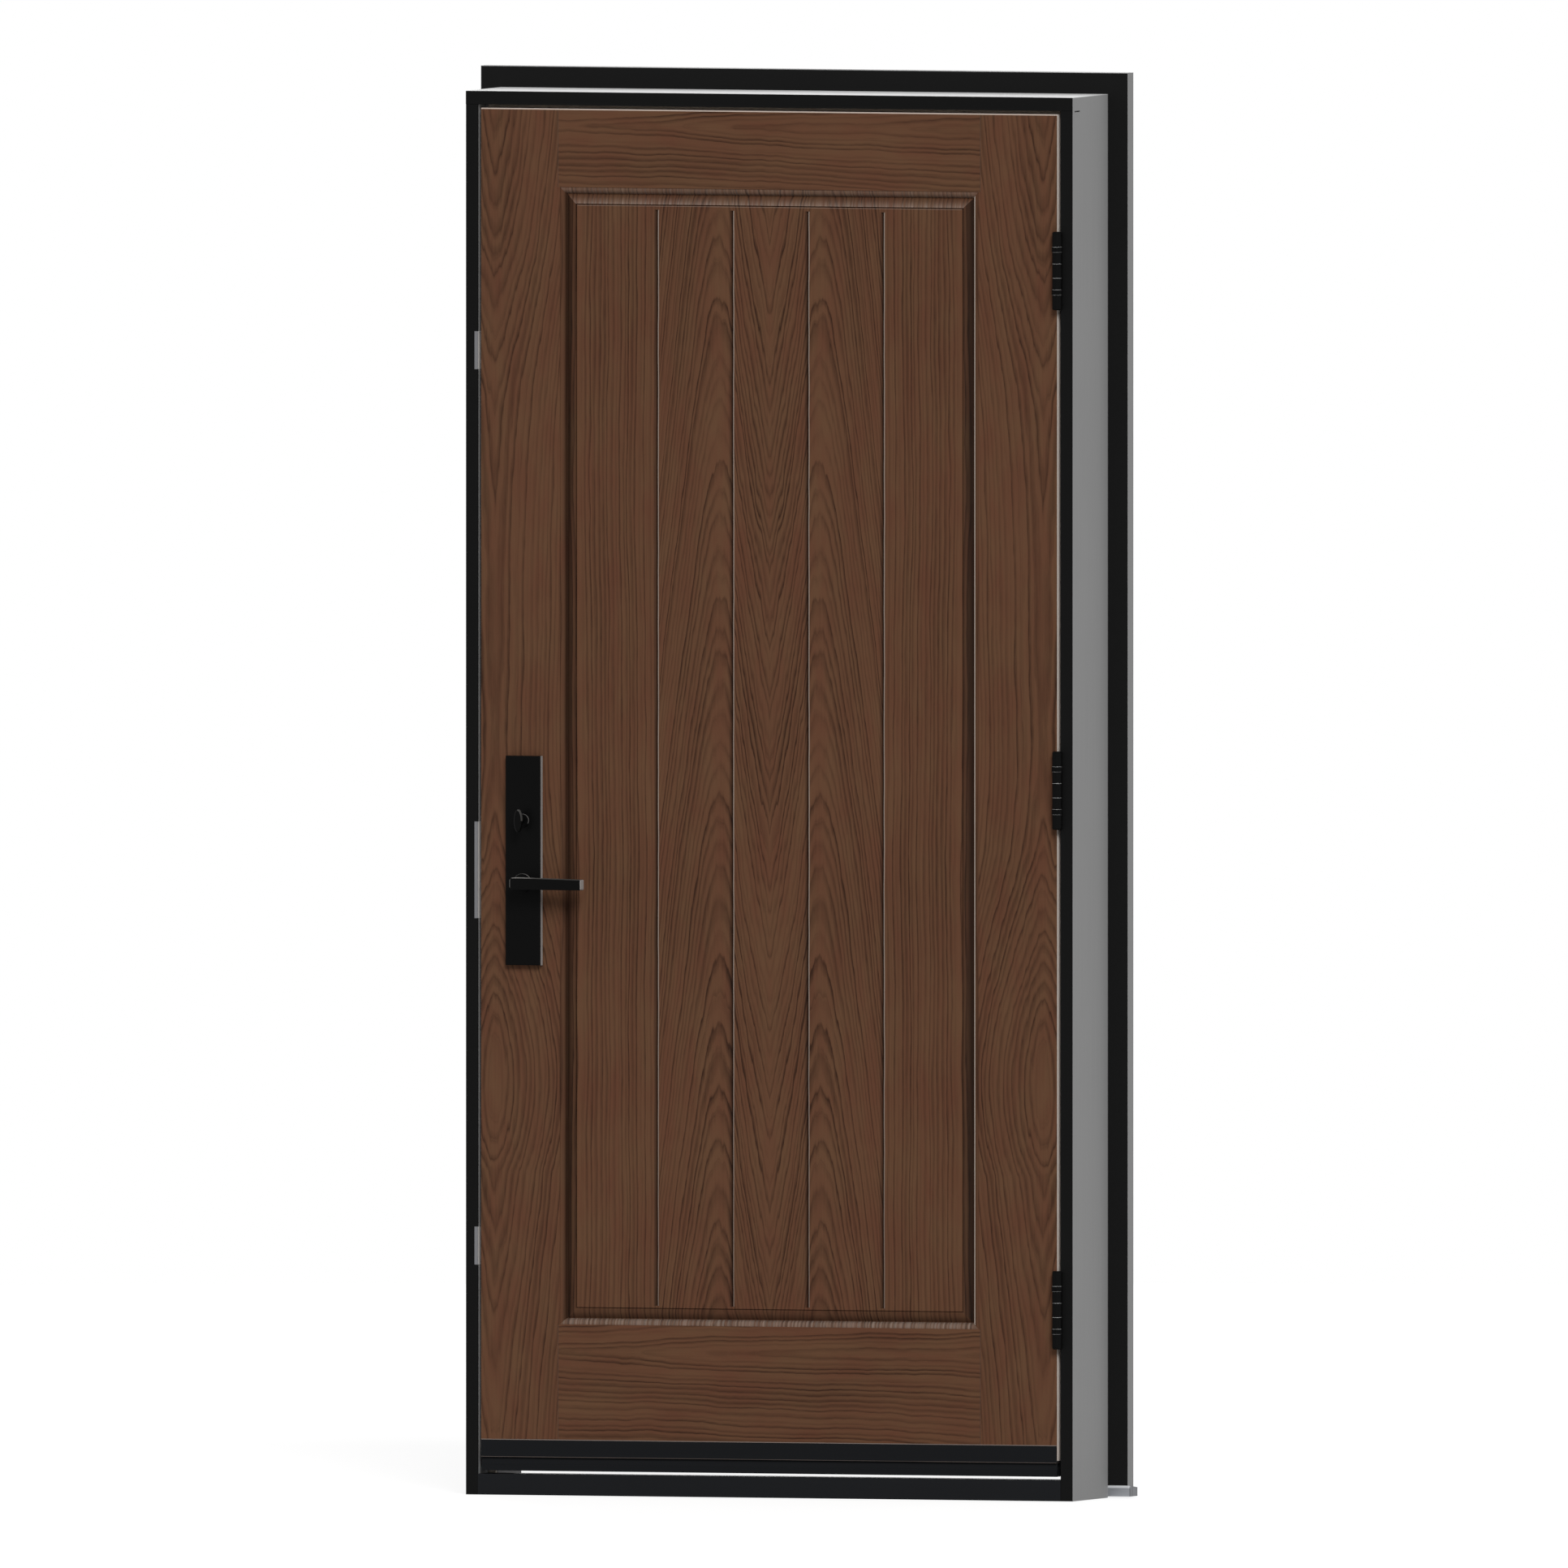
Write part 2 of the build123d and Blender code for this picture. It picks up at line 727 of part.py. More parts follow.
# Lock edge: a long faceplate with the bolts drawn back flush in it
faceplate_y = (slab_middle - faceplate_width / 2, slab_middle + faceplate_width / 2)
faceplate_x = (lock_edge, lock_edge + faceplate_thickness)
faceplate_seat = block(faceplate_x, faceplate_y, (faceplate_bottom, faceplate_top))
faceplate = faceplate_seat - lock_bevel
lock_stile -= faceplate_seat
bolts = {}
for name, (low, high) in bolt_spans.items():
    bolt = block((lock_edge, lock_edge + bolt_depth), bolt_y, (low, high)) - lock_bevel
    faceplate -= bolt
    lock_stile -= bolt
    bolts[name] = bolt

# Door bottom: a shoe on the indoor face with soft fins that hang clear of the sill
shoe_x = (lock_edge + shoe_end_inset, hinge_edge - shoe_end_inset)
shoe_face = indoor_face - shoe_wall
shoe_top = slab_bottom + shoe_lap
shoe_bottom = slab_bottom - shoe_base
shoe_points = [
    (indoor_face, shoe_top),
    (indoor_face, slab_bottom),
    (outdoor_face, slab_bottom),
    (outdoor_face, shoe_bottom),
    (shoe_face, shoe_bottom),
    (shoe_face, shoe_top - shoe_chamfer),
    (shoe_face + shoe_chamfer, shoe_top),
]
door_sweep = crosswise(make_face(Polyline(*shoe_points, close=True)), shoe_x)
fin_bottom = sill_top + swing_gap
foot_top = fin_bottom + foot_height
fin_pitch = (slab_thickness - fin_thickness - fin_lean) / (fin_count - 1)
for fin in range(fin_count):
    fin_y = indoor_face + fin_lean + fin * fin_pitch
    fin_points = [
        (fin_y, shoe_bottom),
        (fin_y + fin_thickness, shoe_bottom),
        (fin_y + fin_thickness - fin_lean, fin_bottom),
        (fin_y - fin_lean, fin_bottom),
    ]
    door_sweep += crosswise(make_face(Polyline(*fin_points, close=True)), shoe_x)
foot_points = [
    (indoor_face, foot_top),
    (indoor_face + foot_depth, foot_top),
    (indoor_face + foot_depth, fin_bottom),
    (indoor_face, fin_bottom),
]
door_sweep += crosswise(make_face(Polyline(*foot_points, close=True)), shoe_x)
sweep_bevel = upright(make_face(Polyline(*bevel_points, close=True)), (fin_bottom, slab_bottom))
door_sweep -= Pos(shoe_end_inset, 0, 0) * sweep_bevel

# Lock furniture on the indoor side
plate_face = indoor_face - plate_thickness
plate_blank = block(
    (lever_x - plate_width / 2, lever_x + plate_width / 2),
    (plate_face, indoor_face),
    (plate_bottom, plate_top),
)
plate_blank = chamfer(plate_blank.faces().sort_by(Axis.Y)[0].edges(), plate_arris)
lever_collar_face = plate_face - lever_collar_height
plate_blank += rod_along_y(lever_x, lever_level, lever_collar_diameter, (lever_collar_face, plate_face))
neck_bore = lever_neck_diameter + 2 * running_clearance
plate_blank -= rod_along_y(lever_x, lever_level, neck_bore, (lever_collar_face, indoor_face))
turn_collar_face = plate_face - turn_collar_height
turn_bore = turn_shaft_diameter + 2 * running_clearance
turn_collar = rod_along_y(lever_x, turn_level, turn_collar_diameter, (turn_collar_face, plate_face))
inside_plate = plate_blank + turn_collar
inside_plate -= rod_along_y(lever_x, turn_level, turn_bore, (turn_collar_face, indoor_face))
outside_plate = to_outdoor_side(plate_blank)

lever_front = indoor_face - lever_face_standoff
lever_back = lever_front + lever_thickness
lever_low = lever_level - lever_hub_height / 2
arm_points = [
    (lever_x - lever_tail, lever_low),
    (lever_x + lever_reach, lever_low),
    (lever_x + lever_reach, lever_low + lever_tip_height),
    (lever_x + lever_tail, lever_low + lever_hub_height),
    (lever_x - lever_tail, lever_low + lever_hub_height),
]
arm_rounds = {0: lever_hub_round, 1: lever_tip_round, 2: lever_tip_round, 4: lever_hub_round}
arm_face = rounded_face(arm_points, arm_rounds)
arm = Pos(0, lever_back, 0) * extrude(Plane.XZ * arm_face, amount=lever_thickness)
arm = fillet(arm.faces().sort_by(Axis.Y)[0].edges(), lever_edge_round)
neck_end = indoor_face - lever_neck_seat
inside_lever = arm + rod_along_y(lever_x, lever_level, lever_neck_diameter, (lever_back, neck_end))
spindle_start = neck_end - spindle_grip
spindle_end = 2 * slab_middle - spindle_start
spindle = block(
    (lever_x - spindle_width / 2, lever_x + spindle_width / 2),
    (spindle_start, spindle_end),
    (lever_level - spindle_width / 2, lever_level + spindle_width / 2),
)
inside_lever -= spindle
outside_lever = to_outdoor_side(inside_lever)

turn_back = turn_collar_face - turn_stem_length
turn_paddle = extrude(Plane.XZ * Ellipse(turn_width / 2, turn_height / 2), amount=turn_depth)
turn_paddle = chamfer(turn_paddle.faces().sort_by(Axis.Y)[0].edges(), turn_bevel)
thumbturn = Pos(lever_x, turn_back, turn_level) * turn_paddle
thumbturn += rod_along_y(lever_x, turn_level, turn_shaft_diameter, (turn_back, indoor_face + turn_shaft_tail))

# Key cylinder on the outdoor plate
outdoor_plate_face = outdoor_face + plate_thickness
cylinder_face = outdoor_plate_face + cylinder_height
key_cylinder = rod_along_y(lever_x, turn_level, cylinder_diameter, (outdoor_plate_face, cylinder_face))
key_cylinder = chamfer(key_cylinder.faces().sort_by(Axis.Y)[-1].edges(), cylinder_bevel)
key_cylinder -= block(
    (lever_x - key_slot_width / 2, lever_x + key_slot_width / 2),
    (cylinder_face - key_slot_depth, cylinder_face),
    (turn_level - key_slot_height / 2, turn_level + key_slot_height / 2),
)

save("hinge_jamb", hinge_jamb)
save("strike_jamb", strike_jamb)
save("head_jamb", head_jamb)
save("hinge_side_weatherstrip", side_seal)
save("strike_side_weatherstrip", to_lock_side(side_seal))
save("head_weatherstrip", head_seal)
save("hinge_side_casing", side_casing)
save("strike_side_casing", to_lock_side(side_casing))
save("head_casing", head_casing)
save("sill_base", sill_base)
save("sill_cap", sill_cap)
save("sill_deck", sill_deck)
for name, strike in strikes.items():
    save(f"{name}_strike", strike)
for name, height in hinge_heights.items():
    save(f"{name}_hinge_jamb_leaf", Pos(0, 0, height) * jamb_leaf)
    save(f"{name}_hinge_door_leaf", Pos(0, 0, height) * door_leaf)
    save(f"{name}_hinge_pin", Pos(0, 0, height) * hinge_pin)
save("inside_skin", inside_skin)
save("outside_skin", outside_skin)
save("lock_stile", lock_stile)
save("hinge_stile", hinge_stile)
save("top_rail", top_rail)
save("bottom_rail", bottom_rail)
save("foam_core", foam_core)
save("lock_faceplate", faceplate)
for name, bolt in bolts.items():
    save(name, bolt)
save("door_sweep", door_sweep)
save("inside_escutcheon", inside_plate)
save("outside_escutcheon", outside_plate)
save("inside_lever", inside_lever)
save("outside_lever", outside_lever)
save("lever_spindle", spindle)
save("thumbturn", thumbturn)
save("key_cylinder", key_cylinder)
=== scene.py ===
import json
import math
from types import SimpleNamespace

import bpy
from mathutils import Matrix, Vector


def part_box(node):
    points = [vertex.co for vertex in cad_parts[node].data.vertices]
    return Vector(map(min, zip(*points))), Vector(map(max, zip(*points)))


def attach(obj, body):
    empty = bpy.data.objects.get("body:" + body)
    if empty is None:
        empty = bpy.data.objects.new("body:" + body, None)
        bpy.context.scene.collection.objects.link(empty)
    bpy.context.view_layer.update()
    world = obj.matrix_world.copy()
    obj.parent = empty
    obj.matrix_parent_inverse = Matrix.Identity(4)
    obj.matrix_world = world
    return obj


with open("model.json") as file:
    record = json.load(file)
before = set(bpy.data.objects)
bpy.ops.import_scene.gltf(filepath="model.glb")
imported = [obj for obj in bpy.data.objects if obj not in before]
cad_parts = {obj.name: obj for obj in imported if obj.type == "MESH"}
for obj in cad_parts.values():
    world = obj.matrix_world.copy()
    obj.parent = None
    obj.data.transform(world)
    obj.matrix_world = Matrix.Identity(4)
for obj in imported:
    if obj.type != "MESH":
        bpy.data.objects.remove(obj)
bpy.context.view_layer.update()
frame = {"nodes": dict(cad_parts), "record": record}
nodes = frame["nodes"]
bpy.ops.object.select_all(action="DESELECT")
print("frame loaded:", len(nodes), "nodes")


class Link:  # a socket that takes part in shader maths
    def __init__(self, coat, socket):
        self.coat = coat
        self.socket = socket

    def math(self, operation, *values):
        return self.coat.node("ShaderNodeMath", {"operation": operation}, dict(enumerate(values)))

    def __add__(self, other):
        return self.math("ADD", self, other)

    def __radd__(self, other):
        return self.math("ADD", other, self)

    def __sub__(self, other):
        return self.math("SUBTRACT", self, other)

    def __rsub__(self, other):
        return self.math("SUBTRACT", other, self)

    def __mul__(self, other):
        return self.math("MULTIPLY", self, other)

    def __rmul__(self, other):
        return self.math("MULTIPLY", other, self)

    def __truediv__(self, other):
        return self.math("DIVIDE", self, other)

    def __rtruediv__(self, other):
        return self.math("DIVIDE", other, self)

    def __gt__(self, other):
        return self.math("GREATER_THAN", self, other)

    def __lt__(self, other):
        return self.math("LESS_THAN", self, other)

    def __abs__(self):
        return self.math("ABSOLUTE", self)

    def root(self):
        return self.math("SQRT", self)

    def floor(self):
        return self.math("FLOOR", self)

    def fract(self):
        return self.math("FRACT", self)

    def atLeast(self, other):
        return self.math("MAXIMUM", self, other)

    def atMost(self, other):
        return self.math("MINIMUM", self, other)

    def clip(self):
        return self.atLeast(0).atMost(1)

    def within(self, low, high):
        return (self > low) * (self < high)


class Finish:  # one material and its node tree
    def __init__(self, name, specular):
        self.material = bpy.data.materials.new(name)
        self.material.use_nodes = True
        self.tree = self.material.node_tree
        self.bsdf = self.tree.nodes["Principled BSDF"]
        self.bsdf.inputs["Specular IOR Level"].default_value = specular
        self.place = self.node("ShaderNodeTexCoord", {}, {}, "Object")
        whole = {0: self.place}
        self.x, self.y, self.z = (self.node("ShaderNodeSeparateXYZ", {}, whole, axis) for axis in range(3))

    def node(self, kind, settings, sockets, output=0):
        made = self.tree.nodes.new(kind)
        for key, value in settings.items():
            if key == "stops":
                ramp = made.color_ramp
                while len(ramp.elements) < len(value):
                    ramp.elements.new(1.0)
                for element, (spot, level) in zip(ramp.elements, value):
                    element.position = spot
                    element.color = grey(level)
            elif key == "blend":
                made.color_ramp.interpolation = value
            else:
                setattr(made, key, value)
        for key, value in sockets.items():
            if isinstance(value, Link):
                self.tree.links.new(value.socket, made.inputs[key])
            else:
                made.inputs[key].default_value = value
        return Link(self, made.outputs[output])

    def noise(self, vector, scale, detail, rough=0.5):
        sockets = {"Vector": vector, "Scale": scale, "Detail": detail, "Roughness": rough}
        return self.node("ShaderNodeTexNoise", {}, sockets)

    def streaks(self, x, y, z, detail, rough=0.5):  # noise drawn out by the scale of each direction
        point = self.node("ShaderNodeCombineXYZ", {}, {0: x, 1: y, 2: z})
        return self.noise(point, 1.0, detail, rough)

    def ramp(self, value, stops, blend="EASE"):
        return self.node("ShaderNodeValToRGB", {"blend": blend, "stops": stops}, {0: value})

    def mix(self, share, first, second):
        return self.node("ShaderNodeMix", {"data_type": "RGBA"}, {0: share, 6: first, 7: second}, 2)

    def feed(self, **inputs):
        for key, value in inputs.items():
            socket = self.bsdf.inputs[key.replace("_", " ")]
            if isinstance(value, Link):
                self.tree.links.new(value.socket, socket)
            else:
                socket.default_value = value

    def bump(self, height, depth):
        sockets = {"Height": height, "Distance": depth, "Strength": 1.0}
        self.feed(Normal=self.node("ShaderNodeBump", {}, sockets))


def tone(red, green, blue):  # an 8-bit colour as Blender's linear one
    parts = [part / 255 for part in (red, green, blue)]
    return (*[part / 12.92 if part < 0.04045 else ((part + 0.055) / 1.055) ** 2.4 for part in parts], 1)


def grey(level):
    return (level, level, level, 1)


def shaded(colour, times):  # the same colour, darker or paler
    return (*[part * times for part in colour[:3]], 1)


# wood grain of the two fiberglass skins: stiles, rails and five planks, alike left and right
grain = {
    "light": tone(95, 67, 48),
    "warm": tone(93, 60, 44),
    "dark": tone(52, 33, 23),
    "edge": tone(250, 241, 233),
    "panelHalf": 0.32855, "panelLow": 0.255, "panelHigh": 1.950, "midHeight": 1.0,
    "moulding": 0.0262, "ovoloWall": (0.0058, 0.0091), "valleyEnd": 0.0102, "bevelRun": 0.014,
    "jointX": 0.33135,
    "grooves": (0.05911, 0.17733), "grooveWidth": 0.0094, "grooveEnds": (0.2842, 1.9178),
    "hingeEdge": 0.45205, "indoorFace": -0.08335, "bevel": 0.0524, "edgeSkim": 0.0003, "faceSkim": 0.0002,
    "slabLow": 0.0602, "slabHigh": 2.0668, "slabMiddle": -0.0611, "slabHalf": 0.02225,
    "stileAxis": 0.430, "stileRound": 0.00006, "flameAxis": 0.079, "outerAxis": 0.33,
    "railAxes": (0.215, 2.042), "railRound": 0.00002,
    # rings a metre, how they crowd outwards, rings a metre up, and how far sway and tooth push them
    "stileFigure": (90, 350, 24, 3.0, 1.0),
    "centreFigure": (120, 700, -30, 5.0, 1.4),
    "outerFigure": (110, 250, 0, 3.0, 0.8),
    "flameFigure": (3600, 14, 24, 3.6, 0.9),  # rings a square metre, how they ease outwards, then as above
    "railFigure": (120, 4.0, 4.0),  # rings a metre up, lean along the rail, sway
    # how the stiles' figure climbs and falls, over a height of liftSpan
    "liftSpan": 2.1,
    "lift": (
        (0.0, 0.60), (0.23, 0.20), (0.30, 0.08), (0.37, 0.25), (0.46, 0.66),
        (0.60, 0.62), (0.78, 0.56), (0.88, 0.36), (1.0, 0.10),
    ),
    "ringProfile": ((0.0, 0.50), (0.18, 0.06), (0.42, 0.08), (0.70, 0.60), (0.88, 1.0), (1.0, 0.50)),
    "noises": {  # waves a metre across and along, detail, roughness
        "sway": (5, 1.7, 2.0, 0.5),
        "ripple": (17, 5, 3.0, 0.55),
        "tooth": (110, 9, 2.0, 0.5),
        "railSway": (2.2, 7, 2.0, 0.5),
        "dash": (220, 45, 2.0, 0.5),
        "fibre": (380, 8, 3.0, 0.6),
        "pores": (1300, 34, 2.0, 0.5),
        "cloud": (10, 3, 3.0, 0.5),
        "warmth": (34, 9, 2.0, 0.5),
        "wander": (9, 14, 2.0, 0.5),
        "streak": (280, 3, 2.0, 0.5),
    },
    "emboss": 0.00022,
}


def grainNoise(coat, name, side, along):
    fineSide, fineAlong, detail, rough = grain["noises"][name]
    return coat.streaks(side * fineSide, 0, along * fineAlong, detail, rough)


def markZones(coat):
    across = abs(coat.x)
    high = coat.z
    panelRows = high.within(grain["panelLow"], grain["panelHigh"])
    stile = (across > grain["jointX"]).atLeast((across > grain["panelHalf"]) * panelRows)
    panel = (1 - stile) * panelRows
    centre = across < grain["grooves"][0]
    outer = across > grain["grooves"][1]
    toSide = grain["panelHalf"] - across
    toEnd = (high - grain["panelLow"]).atMost(grain["panelHigh"] - high)
    inward = toSide.atMost(toEnd)
    upright = toSide < toEnd
    field = inward > grain["moulding"]
    return SimpleNamespace(
        across=across, high=high, above=high > grain["midHeight"], panelRows=panelRows,
        stile=stile, rail=(1 - stile) * (1 - panelRows), panel=panel,
        centre=centre, outer=outer, flank=(1 - centre) * (1 - outer),
        toSide=toSide, toEnd=toEnd, inward=inward, upright=upright, field=field,
        level=panel * (1 - upright) * (1 - field),
        sunk=(grain["slabHalf"] - abs(coat.y - grain["slabMiddle"])).atLeast(0) * (1 - field),
    )


def countRings(coat, zone):  # growth rings, so that each whole number is one dark line
    across = zone.across
    high = zone.high
    sway = grainNoise(coat, "sway", across, high) - 0.5
    ripple = grainNoise(coat, "ripple", across, high) - 0.5
    tooth = grainNoise(coat, "tooth", across, high) - 0.5

    def figure(name, reach, climb):
        spread, crowd, rise, swayed, toothed = grain[name]
        return reach * spread + reach * reach * crowd + climb * rise + sway * swayed + tooth * toothed

    def reachFrom(value, axis, rounding):  # a distance that is rounded off at the axis
        return ((value - axis) * (value - axis) + rounding).root()

    fromAxis = reachFrom(across, grain["stileAxis"], grain["stileRound"])
    lift = coat.ramp(high / grain["liftSpan"], grain["lift"], "B_SPLINE")
    centreRings = figure("centreFigure", across, high)
    outerRings = figure("outerFigure", grain["outerAxis"] - across, high)

    fromFlame = abs(across - grain["flameAxis"])
    spread, ease, rise, swayed, toothed = grain["flameFigure"]
    flankRings = fromFlame * fromFlame * spread / (1 + fromFlame * ease) + high * rise
    flankRings = flankRings + sway * swayed + tooth * toothed

    lowAxis, topAxis = grain["railAxes"]
    fromRail = reachFrom(high, lowAxis + zone.above * (topAxis - lowAxis), grain["railRound"])
    spread, lean, swayed = grain["railFigure"]
    railSway = grainNoise(coat, "railSway", coat.x, high) - 0.5
    railRings = fromRail * spread - coat.x * lean + railSway * swayed

    plankRings = zone.centre * centreRings + zone.flank * flankRings + zone.outer * outerRings
    stileRings = figure("stileFigure", fromAxis, lift)
    rings = zone.stile * stileRings + zone.rail * railRings + zone.panel * plankRings + ripple
    rings = rings + coat.streaks(rings * 0.55, 0, 0, 1.0) * 1.5  # some rings stand closer than others

    nearPlank = zone.centre * across + zone.flank * fromFlame + zone.outer
    nearAxis = zone.stile * fromAxis + zone.rail * fromRail + zone.panel * nearPlank
    return rings, nearAxis


# painted shade and painted highlights on the wood: shares of a dark colour painted into the hollows as shade,
# and of a pale colour painted on the edges as highlights
paintedLight = {
    "shadeTone": grey(0.001), "pale": tone(206, 191, 179),
    "hollowShade": ((0.02, 0.0), (0.20, 0.27), (0.50, 0.61), (0.80, 0.67)),  # by depth in centimetres
    "levelEase": (0.45, 0.25),  # less in the level mouldings, and less again in the top one
    "quirk": (0.0018, 0.0003), "quirkShade": 0.50,
    "rightBevel": 0.002, "rightBevelShade": 0.15,
    "grooveShade": (
        (0.0, 0.0), (0.10, 0.24), (0.30, 0.44), (0.46, 0.66),
        (0.56, 0.80), (0.62, 0.80), (0.67, 0.20), (0.80, 0.0),
    ),
    "grooveHighlight": ((0.63, 0.0), (0.69, 0.48), (0.82, 0.44), (0.90, 0.0)),
    "wander": 0.25,
    "topBevel": (0.08, 0.19), "topOvolo": (0.04, 0.07), "bottomOvolo": (0.05, 0.17),  # even and streaked
    "topQuirk": 0.0011, "topQuirkHighlight": 0.12,
    "jointHalf": 0.0009, "jointHighlight": 0.03,
    "topArris": 0.0016, "topArrisHighlight": 0.75,
}


# paints shade into the mouldings' hollows and the grooves, and highlights on their edges, over the wood's own
# colour
def paintShadeAndHighlights(coat, zone, colour):
    high = zone.high
    above = zone.above
    right = (coat.x > 0) * zone.upright
    lessLevel, lessAbove = paintedLight["levelEase"]
    # painted shade, deeper with the depth below the face
    paintedShade = coat.ramp(zone.sunk * 100, paintedLight["hollowShade"]) * (1 - zone.level * (lessLevel + above * lessAbove))
    quirk = zone.inward.within(*[grain["moulding"] - inset for inset in paintedLight["quirk"]])
    paintedShade = paintedShade.atLeast(zone.panel * quirk * paintedLight["quirkShade"])
    # more painted shade on the right moulding's rising bevel
    rightBevel = right * zone.toSide.within(grain["valleyEnd"], grain["moulding"] - paintedLight["rightBevel"])
    paintedShade = paintedShade + rightBevel * paintedLight["rightBevelShade"]

    # plank grooves, with painted shade on one wall and a painted highlight on the other, with a slightly
    # uneven line
    pitch = grain["grooves"][1] - grain["grooves"][0]
    wander = (grainNoise(coat, "wander", coat.x, high) - 0.5) * paintedLight["wander"]
    groove = (((coat.x / pitch + 1).fract() - 0.5) * pitch / grain["grooveWidth"] + 0.5 + wander).clip()
    planked = high.within(*grain["grooveEnds"]) * (zone.across < grain["grooves"][1] + grain["grooveWidth"])
    paintedShade = paintedShade + planked * coat.ramp(groove, paintedLight["grooveShade"], "LINEAR")
    highlight = (0.5 + (high - grain["grooveEnds"][0]).atMost(0.5)) * (0.6 + (wander + 0.12) * 3)
    # a painted highlight on the right moulding's steep wall
    paintedHighlight = right * zone.toSide.within(*grain["ovoloWall"])
    paintedHighlight = paintedHighlight + planked * highlight * coat.ramp(groove, paintedLight["grooveHighlight"], "LINEAR")

    # level mouldings get a painted sheen in streaks
    streak = ((grainNoise(coat, "streak", coat.x, high) - 0.40) * 3.5).clip()
    rise = ((zone.toEnd - grain["valleyEnd"]) / grain["bevelRun"]).clip()
    ovolo = zone.toEnd < grain["ovoloWall"][1]
    for part, (even, streaked) in (
        (above * rise * rise * (rise < 1), paintedLight["topBevel"]),
        (above * ovolo, paintedLight["topOvolo"]),
        ((1 - above) * ovolo, paintedLight["bottomOvolo"]),
    ):
        paintedHighlight = paintedHighlight + zone.level * part * (even + streak * streaked)
    # a painted highlight along the panel's edge just below the top moulding
    topQuirk = zone.field * above * (1 - zone.upright) * (zone.toEnd < grain["moulding"] + paintedLight["topQuirk"])
    paintedHighlight = paintedHighlight + topQuirk * paintedLight["topQuirkHighlight"]
    # a painted highlight along the stile joints in the rails, lightening their shade
    joint = (1 - zone.panelRows) * (abs(zone.across - grain["jointX"]) < paintedLight["jointHalf"])
    paintedHighlight = paintedHighlight + joint * paintedLight["jointHighlight"]
    # a painted highlight along the slab's top arris
    paintedHighlight = paintedHighlight + (high > grain["slabHigh"] - paintedLight["topArris"]) * paintedLight["topArrisHighlight"]
    colour = coat.mix(paintedShade.clip(), colour, paintedLight["shadeTone"])
    return coat.mix(paintedHighlight.clip(), colour, paintedLight["pale"])


def makeGrain():
    coat = Finish("woodGrainSkin", specular=0.06)
    zone = markZones(coat)
    rings, nearAxis = countRings(coat, zone)
    side = zone.across * (1 - zone.rail) + zone.high * zone.rail
    along = zone.high * (1 - zone.rail) + coat.x * zone.rail

    # rings differ in strength, break into dashes and fade at the heart of a figure
    ringRandom = coat.node("ShaderNodeTexWhiteNoise", {"noise_dimensions": "1D"}, {"W": rings.floor()})
    dash = grainNoise(coat, "dash", side, along)
    line = coat.ramp(rings.fract(), grain["ringProfile"])
    line = line * (0.20 + ringRandom * 0.80) * (0.5 + (nearAxis * 30).atMost(0.5)) * (0.55 + dash * 0.9)

    # fine fibres and pores run along the grain
    fibre = grainNoise(coat, "fibre", side, along)
    pores = ((grainNoise(coat, "pores", side, along) - 0.62) * 6).clip()
    cloud = grainNoise(coat, "cloud", side, along)
    warmth = grainNoise(coat, "warmth", side, along)
    base = coat.mix(((warmth - 0.35) * 2.8).clip(), grain["light"], grain["warm"])
    darkness = line * (0.50 + cloud * 0.8) * (1 + zone.panel * (1 - zone.outer) * 0.3)
    darkness = darkness + (fibre - 0.5) * 0.5 + pores * 0.14 + (cloud - 0.5) * 0.4
    colour = paintShadeAndHighlights(coat, zone, coat.mix(darkness.clip(), base, grain["dark"]))

    # the edges of the slab are pale and bare, and the lock edge is bevelled
    skim = grain["edgeSkim"]
    hingeSide = grain["hingeEdge"] - skim
    lockSide = hingeSide - (coat.y - grain["indoorFace"]) * grain["bevel"]
    edge = (coat.x > hingeSide).atLeast((0 - coat.x) > lockSide)
    edge = edge.atLeast(zone.high > grain["slabHigh"] - skim).atLeast(zone.high < grain["slabLow"] + skim)
    coat.feed(Base_Color=coat.mix(edge * (zone.sunk > grain["faceSkim"]), colour, grain["edge"]))
    coat.feed(Roughness=0.50 + fibre * 0.14 + line * 0.08)
    coat.bump(0 - line * 0.6 - fibre * 0.5 - pores * 0.5, grain["emboss"])
    return coat.material


# even coats with a fine orange peel and a little dust
paints = {
    "weatherstrip": {
        "name": "weatherstripVinyl", "colour": tone(214, 202, 188), "specular": 0.2, "rough": 0.62,
        "speckle": 0.08, "peelDepth": 0.00012, "peelScale": 500,
    },
    "sill_composite": {
        "name": "sillComposite", "colour": tone(28, 29, 31), "specular": 0.03, "rough": 0.55,
        "speckle": 0.12, "peelDepth": 0.0001, "peelScale": 320,
    },
    "black_hinge": {
        "name": "blackHinge", "colour": tone(13, 13, 13), "specular": 0.03, "rough": 0.42,
        "speckle": 0.14, "peelDepth": 0.00005, "peelScale": 340,
    },
}


def makePaint(name, colour, specular, rough, speckle, peelDepth, peelScale):
    coat = Finish(name, specular)
    peel = coat.noise(coat.place, peelScale, 3.0, 0.6)
    cloud = coat.noise(coat.place, 7.0, 3.0)
    coat.feed(Base_Color=coat.mix(
        peel * 0.5 + cloud * 0.5, shaded(colour, 1 - speckle), shaded(colour, 1 + speckle)))
    coat.feed(Roughness=rough + (cloud - 0.5) * 0.16 + (peel - 0.5) * 0.08)
    coat.bump(peel, peelDepth)
    return coat.material


# jambs: grey primer with a black indoor edge, and a painted highlight on top of the head
jambPaint = {
    "primer": tone(148, 148, 148), "black": tone(20, 20, 20), "streak": 0.10,
    "paintLine": -0.0826, "rabbet": 0.4578, "rabbetLine": -0.0800,
    "topHighlight": tone(200, 200, 200), "topSkim": 0.0005,
}

